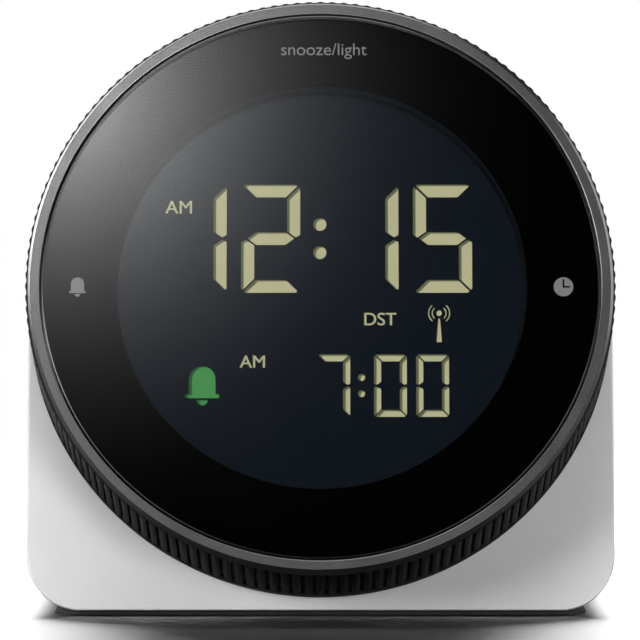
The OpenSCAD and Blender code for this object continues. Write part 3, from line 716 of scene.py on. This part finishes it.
class CLOCK_OT_grip_ring(bpy.types.Operator):
    """Turning ring with its grip grooves, smooth collar and metallic front"""

    bl_idname = "clock.grip_ring"
    bl_label = "Grip ring"

    def execute(self, context):
        sizes = context.scene.clock_sizes
        land = RING_RADIUS - sizes.land_drop
        collar = RING_RADIUS - sizes.collar_drop
        front_edge = RING_RADIUS - sizes.front_drop
        bore = LENS_RADIUS + sizes.lens_gap
        groove_back = RING_BACK + sizes.rim_depth
        groove_front = RING_FRONT - sizes.collar_depth
        collar_back = groove_front + 2 * sizes.notch
        rib_front = FLANGE_FRONT - sizes.rib_setback
        profile = [
            (RING_RADIUS, RING_BACK),
            (RING_RADIUS, groove_back),
            (land, groove_back),
            (land, groove_front),
            ((land + collar) / 2, groove_front + sizes.notch),
            (collar, collar_back),
            (front_edge, RING_FRONT),
            (bore, RING_FRONT),
            (bore, rib_front),
            (RING_RIB, rib_front),
            (RING_RIB, GEAR_FRONT),
            (GEAR_RADIUS, GEAR_FRONT),
            (GEAR_RADIUS, RING_BACK),
        ]
        rim_round, front_round, bore_round = 0.3 * MM, 0.04 * MM, 0.09 * MM
        rounds = [(0, rim_round), (6, front_round), (7, bore_round)]
        # Columns of faces in one pitch, and how many of them the groove takes
        columns = 6
        groove_columns = 2
        pitch = 2 * math.pi / sizes.groove_count
        piece = turned("turning_ring", profile, columns * sizes.groove_count, rounds)
        groove_share = groove_columns / 2 / columns
        # Share of the land's drop at each column of vertices, counted from the middle of a groove
        crown = ((0, 1), (1, 1), (2, 0.25))
        near = 0.02
        wall_slope = 0.02 * MM

        def past_groove(spot):
            """How far a point lies round from the middle of the nearest groove, in pitches."""
            share = math.atan2(spot.y, spot.x) / pitch % 1
            return abs((share - groove_share + 0.5) % 1 - 0.5)

        def on_land(spot):
            return abs(spot.xy.length - land) < MERGE and groove_back - MERGE < spot.z < groove_front + MERGE

        def in_groove(face):
            spot = face.calc_center_median()
            between = groove_back + MERGE < spot.z < groove_front + sizes.notch - MERGE
            return between and spot.xy.length > collar and past_groove(spot) < groove_share

        edit(piece)
        for column, drop in crown:
            choose(
                piece,
                "VERT",
                lambda vertex: on_land(vertex.co) and abs(past_groove(vertex.co) - column / columns) < near,
            )
            scale = 1 - drop * sizes.land_round / land
            bpy.ops.transform.resize(value=(scale, scale, 1), center_override=(0, 0, 0))
        choose(piece, "FACE", in_groove)
        bpy.ops.mesh.inset(thickness=wall_slope, depth=-sizes.groove_depth)
        place(piece, FACE @ Matrix.Rotation((0.5 - groove_share) * pitch, 4, "Z"))
        smooth(piece, 50)
        dress(piece, "ring", "ring_grey", "grip_ring")
        front_margin, groove_margin = 0.05 * MM, 0.5 * MM

        def on_collar(radius, height):
            return height > collar_back and radius > front_edge - front_margin

        def on_grip(radius, height):
            return height < collar_back and radius > front_edge - groove_margin

        colours = context.scene.clock_colours
        finish_faces(piece, moulded("Ring collar", tuple(colours.collar), 0.3, gloss=0.3), on_collar)
        finish_faces(piece, moulded("Ring grip", tuple(colours.grip), 0.65, gloss=0.03), on_grip)
        return {"FINISHED"}


class CLOCK_OT_lens(bpy.types.Operator):
    """Flat lens with a chamfered edge, and the dark border printed behind it"""

    bl_idname = "clock.lens"
    bl_label = "Lens"

    def execute(self, context):
        sizes = context.scene.clock_sizes
        chamfer_slope = 0.47
        chamfer_low = LENS_FRONT - chamfer_slope * sizes.lens_chamfer
        chamfer_radius = LENS_RADIUS - sizes.lens_chamfer
        profile = [
            (0, LENS_BACK),
            (LENS_RADIUS, LENS_BACK),
            (LENS_RADIUS, chamfer_low),
            (chamfer_radius, LENS_FRONT),
            (0, LENS_FRONT),
        ]
        lens = turned("display_lens", profile, LARGE_STEPS)
        place(lens, FACE)
        smooth(lens, 20)
        dress(lens, "clock", "clear_lens", "front_lens")

        def on_chamfer(radius, height):
            return radius > chamfer_radius and chamfer_low < height < LENS_FRONT - MERGE

        edge_grey = (0.03, 0.03, 0.03)
        finish_faces(lens, moulded("Lens edge", edge_grey, 0.2, gloss=0.8), on_chamfer)
        mask_front = LENS_BACK - 2 * sizes.ink
        profile = [
            (WINDOW_RADIUS, MASK_BACK),
            (MASK_RADIUS, MASK_BACK),
            (MASK_RADIUS, mask_front),
            (WINDOW_RADIUS, mask_front),
        ]
        mask = turned("border_print", profile, LARGE_STEPS)
        place(mask, FACE)
        smooth(mask, 20)
        dress(mask, "clock", "black_print", "lens_mask")
        return {"FINISHED"}


class CLOCK_OT_lens_marks(bpy.types.Operator):
    """Grey marks of the three touch keys on the rear of the lens, glowing with painted light"""

    bl_idname = "clock.lens_marks"
    bl_label = "Lens marks"

    def execute(self, context):
        sizes = context.scene.clock_sizes
        # The marks glow in their grey: painted light in place of the lamps' light on the ink
        ink = glowing("Lens marks", tuple(context.scene.clock_colours.mark))
        height = LENS_BACK - 1.5 * sizes.ink
        key_x = 30.8 * MM
        key_y = -0.1 * MM
        bell_width = 2.13 * MM
        clock_radius = 1.24 * MM
        hand = 0.11 * MM
        hand_up = 0.8 * clock_radius
        hand_across = 0.65 * clock_radius
        hands = [
            (key_x - hand, key_y + hand_up),
            (key_x - hand, key_y - hand),
            (key_x + hand_across, key_y - hand),
            (key_x + hand_across, key_y + hand),
            (key_x + hand, key_y + hand),
            (key_x + hand, key_y + hand_up),
        ]
        dial = arc((key_x, key_y), clock_radius, 0, 360 - 7.5, 47)
        letter_size = 2.27 * MM
        label_middle = (0.4 * MM, 31.05 * MM)
        marks = [
            drawn("mark_bell", bell_outlines((-key_x, key_y), bell_width), height, sizes.ink),
            drawn("mark_clock", [dial, hands], height, sizes.ink),
            lettered("mark_snooze", "snooze/light", letter_size, label_middle, height, sizes.ink),
        ]
        for mark in marks:
            dress(mark, "clock", "black_print", material=ink)
        return {"FINISHED"}


class CLOCK_OT_display(bpy.types.Operator):
    """Segments, words and signs of the display, each with a glowing darker copy behind it as painted shade along
    its left and top edges
    """

    bl_idname = "clock.display"
    bl_label = "Display"

    def execute(self, context):
        colours = context.scene.clock_colours
        lit = FINISHES["segment"]
        shade = glowing("Segment painted shade", tuple(colours.segment_painted_shade))
        green = glowing("Alarm bell", tuple(colours.bell))
        bell_shade_material = glowing("Alarm bell painted shade", tuple(colours.bell_painted_shade))
        # Painted shade: an olive copy of the segments set behind them, and in front each segment cut to what it
        # shares with a copy moved right and down, so that the olive shows along its left and top edges
        layer = 0.5 * (SEGMENT_FRONT - SEGMENT_BACK)
        shaded = copy_of("lcd_segments", "segment_edges")
        leave_edit()
        place(shaded, Matrix.Translation(-layer * FACE_NORMAL))
        dress(shaded, "clock", "segment", material=shade)
        bars = copy_of("lcd_segments", "segment_faces")
        face_shift = (0.34 * MM, -0.2 * MM, layer)
        dress(lit_part(bars, "segment_faces", face_shift), "clock", "segment", "lcd_segments")
        clearance = 0.01 * MM
        back = SEGMENT_BACK + clearance
        thickness = layer - 2 * clearance
        front = back + thickness + clearance / 2
        words = (
            ("word_am_time", "AM", 2.45 * MM, (-18.05 * MM, 10.9 * MM)),
            ("word_am_alarm", "AM", 2.3 * MM, (-8.6 * MM, -9.3 * MM)),
            ("word_dst", "DST", 2.35 * MM, (7.5 * MM, -3.75 * MM)),
        )
        # Painted shade of the words: a widened olive copy behind each, and the cream word in front, moved a little
        # right and down
        shade_weight = 0.06 * MM
        face_drop = 0.02 * MM
        for name, letters, size, (across, up) in words:
            edge = lettered(f"{name}_edge", letters, size, (across, up), back, thickness, shade_weight)
            dress(edge, "clock", "segment", material=shade)
            word = lettered(name, letters, size, (across + shade_weight, up - face_drop), front, thickness)
            dress(word, "clock", "segment")
        bell = bell_outlines((-15.0 * MM, -12.3 * MM), 4.3 * MM)
        tower = tower_outlines((15.05 * MM, -2.9 * MM))
        signs = (
            ("sign_bell", bell, green, bell_shade_material, (0.4 * MM, -0.12 * MM)),
            ("sign_tower", tower, lit, shade, (0.1 * MM, -0.04 * MM)),
        )
        # Painted shade of the signs: a whole copy in a darker tone behind, and in front the part that each shares
        # with a copy moved right and down
        for name, outlines, tone, shade_tone, (across, up) in signs:
            edge = drawn(f"{name}_edge", outlines, back, thickness)
            dress(edge, "clock", "segment", material=shade_tone)
            whole = drawn(name, outlines, front, thickness)
            dress(lit_part(whole, name, (across, up, 0)), "clock", "segment", material=tone)
        return {"FINISHED"}


class CLOCK_OT_buttons(bpy.types.Operator):
    """Three rear push buttons with dished tops"""

    bl_idname = "clock.buttons"
    bl_label = "Rear buttons"

    def execute(self, context):
        low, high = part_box("button_zone")
        top = high.y - REAR_Y
        stem_end = low.y - REAR_Y
        flange = (high.x - low.x) / 2
        flange_width, flange_depth = 0.8 * MM, 1.0 * MM
        stem, stem_reach = 0.9 * MM, 1.15 * MM
        dish_share, dish_depth = 0.72, 0.25 * MM
        cap = flange - flange_width
        flange_back = stem_end + stem_reach
        flange_front = flange_back + flange_depth
        profile = [
            (0, stem_end),
            (stem, stem_end),
            (stem, flange_back),
            (flange, flange_back),
            (flange, flange_front),
            (cap, flange_front),
            (cap, top),
            (dish_share * cap, top),
            (0, top - dish_depth),
        ]
        rounds = [(1, 0.2 * MM), (6, 0.3 * MM), (7, 0.3 * MM)]
        for key in ("receive", "zone", "reset"):
            low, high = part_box(f"button_{key}")
            middle = Vector(((low.x + high.x) / 2, REAR_Y, (low.z + high.z) / 2))
            piece = turned(f"push_{key}", profile, SMALL_STEPS, rounds)
            place(piece, Matrix.Translation(middle) @ BACK_TURN)
            smooth(piece, 35)
            dress(piece, f"key_{key}", "button_grey", f"button_{key}")
        return {"FINISHED"}


def coil_spring(name, wide, narrow, reach, wire, turns):
    """A round wire, given by its radius, wound into a cone along z from 0 to its reach."""
    curve = bpy.data.curves.new(name, "CURVE")
    curve.dimensions = "3D"
    curve.bevel_depth = wire
    curve.bevel_resolution = 3
    curve.use_fill_caps = True
    steps_a_turn = 24
    count = steps_a_turn * turns + 1
    spline = curve.splines.new("POLY")
    spline.points.add(count - 1)
    for i, point in enumerate(spline.points):
        share = i / (count - 1)
        angle = 2 * math.pi * turns * share
        radius = wide + (narrow - wide) * share
        rise = wire + (reach - 2 * wire) * share
        point.co = (radius * math.cos(angle), radius * math.sin(angle), rise, 1)
    return meshed(name, curve)


class CLOCK_OT_cells(bpy.types.Operator):
    """Two cells with plain sleeves and steel ends, and their coil springs"""

    bl_idname = "clock.cells"
    bl_label = "Cells"

    def execute(self, context):
        low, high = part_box("cells")
        radius = (high.y - low.y) / 2
        middle_y = (low.y + high.y) / 2
        nub_end = high.x
        spring_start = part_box("cell_springs")[0].x
        spring_length = 5.0 * MM
        back_end = spring_start + spring_length
        nub_reach, nub_radius = 1.2 * MM, 1.9 * MM
        nub_start = nub_end - nub_reach
        sleeve = 0.15 * MM
        can_radius = radius - sleeve
        crimp, crimp_depth = 1.2 * MM, 0.4 * MM
        bare_end = 0.5 * MM
        can = [
            (0, back_end),
            (radius - crimp, back_end),
            (can_radius, back_end + crimp_depth),
            (can_radius, nub_start - crimp_depth),
            (radius - crimp, nub_start),
            (nub_radius, nub_start),
            (nub_radius, nub_end),
            (0, nub_end),
        ]
        wrap = [
            (can_radius, back_end + bare_end),
            (radius, back_end + bare_end),
            (radius, nub_start - bare_end),
            (can_radius, nub_start - bare_end),
        ]
        cans, wraps, coils = [], [], []
        along = Matrix.Rotation(math.radians(90), 4, "Y")
        for height, turn in ((high.z - radius, 0), (low.z + radius, 180)):
            way = Matrix.Rotation(math.radians(turn), 4, "Z")
            spot = Matrix.Translation((0, middle_y, height)) @ way @ along
            piece = turned("cell_can", can, SMALL_STEPS, [(6, 0.3 * MM)])
            place(piece, spot)
            cans.append(piece)
            piece = turned("cell_wrap", wrap, SMALL_STEPS, [(1, 0.1 * MM), (2, 0.1 * MM)])
            place(piece, spot)
            wraps.append(piece)
            piece = coil_spring(
                "cell_coil", wide=3.6 * MM, narrow=2.2 * MM, reach=spring_length, wire=0.35 * MM, turns=4
            )
            place(piece, spot @ Matrix.Translation((0, 0, spring_start)))
            coils.append(piece)
        for name, pieces, slot, nodes in (
            ("cell_cans", cans, "steel", ()),
            ("cell_sleeves", wraps, "cell_can", ("cells",)),
            ("cell_coils", coils, "steel", ("cell_springs",)),
        ):
            piece = join(name, pieces)
            smooth(piece, 35)
            dress(piece, "clock", slot, *nodes)
        return {"FINISHED"}


def math_node(tree, operation, first, second):
    """Output of a math node fed by two others."""
    node = tree.nodes.new("ShaderNodeMath")
    node.operation = operation
    tree.links.new(first, node.inputs[0])
    tree.links.new(second, node.inputs[1])
    return node.outputs["Value"]


def mix_node(tree, share, first, second):
    """Output of a mix of two shaders, with a share of the second."""
    node = tree.nodes.new("ShaderNodeMixShader")
    tree.links.new(share, node.inputs["Fac"])
    tree.links.new(first, node.inputs[1])
    tree.links.new(second, node.inputs[2])
    return node.outputs["Shader"]


def link_light(light, pieces, state):
    """Lets a light shine on these pieces only (INCLUDE), or on all but these pieces (EXCLUDE)."""
    receivers = bpy.data.collections.new(f"{light.name}_receivers")
    for piece in pieces:
        receivers.objects.link(piece)
    for entry in receivers.collection_objects:
        entry.light_linking.link_state = state
    light.light_linking.receiver_collection = receivers


def floor_material():
    """Pale matte floor that fades into an even white away from the clock.

    The camera sees it brightly lit. On the clock it throws the light of a plainly lit floor.
    """
    bright, plain_grey = (0.93, 0.93, 0.93), (0.26, 0.26, 0.26)
    fade_start, fade_end = 0.12, 0.4
    material = principled("Floor", {"Roughness": 0.8, "Specular IOR Level": 0.1})
    mottle(material, bright, 0.004, 0.05)
    tree = material.node_tree
    coords = tree.nodes.new("ShaderNodeTexCoord")
    distance = tree.nodes.new("ShaderNodeVectorMath")
    distance.operation = "LENGTH"
    fade = tree.nodes.new("ShaderNodeMapRange")
    fade.interpolation_type = "SMOOTHSTEP"
    fade.inputs["From Min"].default_value = fade_start
    fade.inputs["From Max"].default_value = fade_end
    tree.links.new(coords.outputs["Object"], distance.inputs[0])
    tree.links.new(distance.outputs["Value"], fade.inputs["Value"])
    rays = tree.nodes.new("ShaderNodeLightPath").outputs
    seen = math_node(tree, "MAXIMUM", rays["Is Camera Ray"], rays["Is Glossy Ray"])
    seen = math_node(tree, "MAXIMUM", seen, rays["Is Transmission Ray"])
    white_share = math_node(tree, "MULTIPLY", seen, fade.outputs["Result"])
    plain = tree.nodes.new("ShaderNodeBsdfDiffuse")
    plain.inputs["Color"].default_value = (*plain_grey, 1)
    shader = tree.nodes["Principled BSDF"]
    white = tree.nodes.new("ShaderNodeEmission")
    near = mix_node(tree, rays["Is Camera Ray"], plain.outputs["BSDF"], shader.outputs["BSDF"])
    whole = mix_node(tree, white_share, near, white.outputs["Emission"])
    tree.links.new(whole, tree.nodes["Material Output"].inputs["Surface"])
    return material


def make_floor():
    radius, wall, cove = 6.0, 1.4, 0.8
    under_foot = (0, 0, -0.02 * MM)
    deselect_all()
    bpy.ops.mesh.primitive_circle_add(vertices=128, radius=radius, fill_type="NGON", location=under_foot)
    floor = bpy.context.object
    floor.name = "floor"
    edit(floor)
    choose(floor, "EDGE", lambda edge: True)
    bpy.ops.mesh.extrude_edges_move(TRANSFORM_OT_translate={"value": (0, 0, wall)})
    bevel_edges(floor, cove, 8, lambda edge: is_corner(edge) and max(v.co.z for v in edge.verts) < MM)
    select_mesh()
    bpy.ops.mesh.normals_make_consistent(inside=True)
    leave_edit()
    floor.data.materials.append(floor_material())
    return floor


def add_light(name, power, width, azimuth, elevation, distance=1.2, soft=0.3, falloff=1.5):
    """A round light aimed at the clock, azimuth 0 in front. Soft is the share of its radius that fades."""
    target = Vector((0, 0, 0.038))
    turn, rise = math.radians(azimuth), math.radians(elevation)
    toward = Vector((math.sin(turn) * math.cos(rise), -math.cos(turn) * math.cos(rise), math.sin(rise)))
    deselect_all()
    bpy.ops.object.light_add(type="AREA", location=target + toward * distance)
    light = bpy.context.object
    light.name = name
    light.visible_camera = False
    light.data.shape = "DISK"
    light.data.size = width
    light.data.energy = power
    light.rotation_euler = toward.to_track_quat("Z", "Y").to_euler()
    light.data.use_nodes = True
    tree = light.data.node_tree
    spot = tree.nodes.new("ShaderNodeNewGeometry")
    off_centre = tree.nodes.new("ShaderNodeVectorMath")
    off_centre.operation = "DISTANCE"
    off_centre.inputs[1].default_value = light.location
    fade = tree.nodes.new("ShaderNodeMapRange")
    fade.inputs["From Min"].default_value = width / 2 * (1 - soft)
    fade.inputs["From Max"].default_value = width / 2
    fade.inputs["To Min"].default_value = 1.0
    fade.inputs["To Max"].default_value = 0.0
    steep = tree.nodes.new("ShaderNodeMath")
    steep.operation = "POWER"
    steep.inputs[1].default_value = falloff
    tree.links.new(spot.outputs["Position"], off_centre.inputs[0])
    tree.links.new(off_centre.outputs["Value"], fade.inputs["Value"])
    tree.links.new(fade.outputs["Result"], steep.inputs[0])
    tree.links.new(steep.outputs["Value"], tree.nodes["Emission"].inputs["Strength"])
    return light


class CLOCK_OT_stage(bpy.types.Operator):
    """Pale floor and backdrop, soft lights and the camera"""

    bl_idname = "clock.stage"
    bl_label = "Stage"

    def execute(self, context):
        stage = context.scene.clock_stage
        floor = make_floor()
        ring = bpy.data.objects["turning_ring"]
        lens = bpy.data.objects["display_lens"]
        lights = [
            add_light("key", stage.key_power, width=0.5, azimuth=-42, elevation=16, distance=1.0),
            add_light("glow", stage.glow_power, width=0.42, azimuth=-5.45, elevation=31.5,
                      distance=1.0, soft=1.0, falloff=7.0),
            add_light("top", stage.top_power, width=1.2, azimuth=-30, elevation=74),
            add_light("back", stage.back_power, width=0.9, azimuth=184, elevation=30),
            add_light("side_left", stage.side_power, width=0.6, azimuth=-100, elevation=14),
            add_light("side_right", stage.side_power, width=0.6, azimuth=100, elevation=14),
        ]
        for light in lights:
            link_light(light, [floor], "EXCLUDE")
        fill = add_light("fill", stage.fill_power, width=0.5, azimuth=18, elevation=7)
        link_light(fill, [floor, lens], "EXCLUDE")
        right_power = 0.43 * stage.edge_power
        ring_lights = [
            add_light("edge_left", stage.edge_power, width=0.6, azimuth=-143, elevation=5),
            add_light("rim_left", stage.edge_power, width=1.0, azimuth=-150, elevation=9),
            add_light("rim_right", right_power, width=1.2, azimuth=128, elevation=8),
        ]
        for light in ring_lights:
            link_light(light, [ring], "INCLUDE")
        floor_light = add_light(
            "floor_light", stage.floor_power, width=2.0, azimuth=180, elevation=50, distance=1.5, soft=0.5
        )
        floor_light.data.shape = "ELLIPSE"
        floor_light.data.size_y = 0.45
        link_light(floor_light, [floor], "INCLUDE")
        world = bpy.data.worlds.new("Studio")
        world.use_nodes = True
        world.node_tree.nodes["Background"].inputs["Strength"].default_value = 0.0
        context.scene.world = world
        deselect_all()
        bpy.ops.object.camera_add()
        camera = bpy.context.object
        camera.data.lens = stage.focal_length
        camera.data.shift_x, camera.data.shift_y = stage.shift
        camera.data.clip_start = 0.05
        camera.data.clip_end = 50
        toward = Vector((0, -math.cos(stage.elevation), math.sin(stage.elevation)))
        camera.location = AXIS_POINT + toward * stage.distance
        camera.rotation_euler = toward.to_track_quat("Z", "Y").to_euler()
        context.scene.camera = camera
        context.scene.view_settings.view_transform = "Standard"
        return {"FINISHED"}


PIECES = (
    CLOCK_OT_finishes,
    CLOCK_OT_housing,
    CLOCK_OT_rear_cover,
    CLOCK_OT_battery_door,
    CLOCK_OT_foot,
    CLOCK_OT_grip_ring,
    CLOCK_OT_lens,
    CLOCK_OT_lens_marks,
    CLOCK_OT_display,
    CLOCK_OT_buttons,
    CLOCK_OT_cells,
    CLOCK_OT_stage,
)


class CLOCK_PT_pieces(bpy.types.Panel):
    """Lists the clock's pieces and their sizes"""

    bl_idname = "CLOCK_PT_pieces"
    bl_label = "Alarm clock"
    bl_space_type = "VIEW_3D"
    bl_region_type = "UI"
    bl_category = "Clock"

    def draw(self, context):
        for group in (context.scene.clock_sizes, context.scene.clock_colours, context.scene.clock_stage):
            box = self.layout.box()
            for name in group.__annotations__:
                box.prop(group, name)
        for piece in PIECES:
            self.layout.operator(piece.bl_idname)


CLASSES = (ClockSizes, ClockColours, ClockStage, *PIECES, CLOCK_PT_pieces)


def register():
    for item in CLASSES:
        bpy.utils.register_class(item)
    bpy.types.Scene.clock_sizes = PointerProperty(type=ClockSizes)
    bpy.types.Scene.clock_colours = PointerProperty(type=ClockColours)
    bpy.types.Scene.clock_stage = PointerProperty(type=ClockStage)


def unregister():
    del bpy.types.Scene.clock_stage
    del bpy.types.Scene.clock_colours
    del bpy.types.Scene.clock_sizes
    for item in reversed(CLASSES):
        bpy.utils.unregister_class(item)


def main():
    register()
    for piece in PIECES:
        group, name = piece.bl_idname.split(".")
        getattr(getattr(bpy.ops, group), name)()


if __name__ == "__main__":
    main()
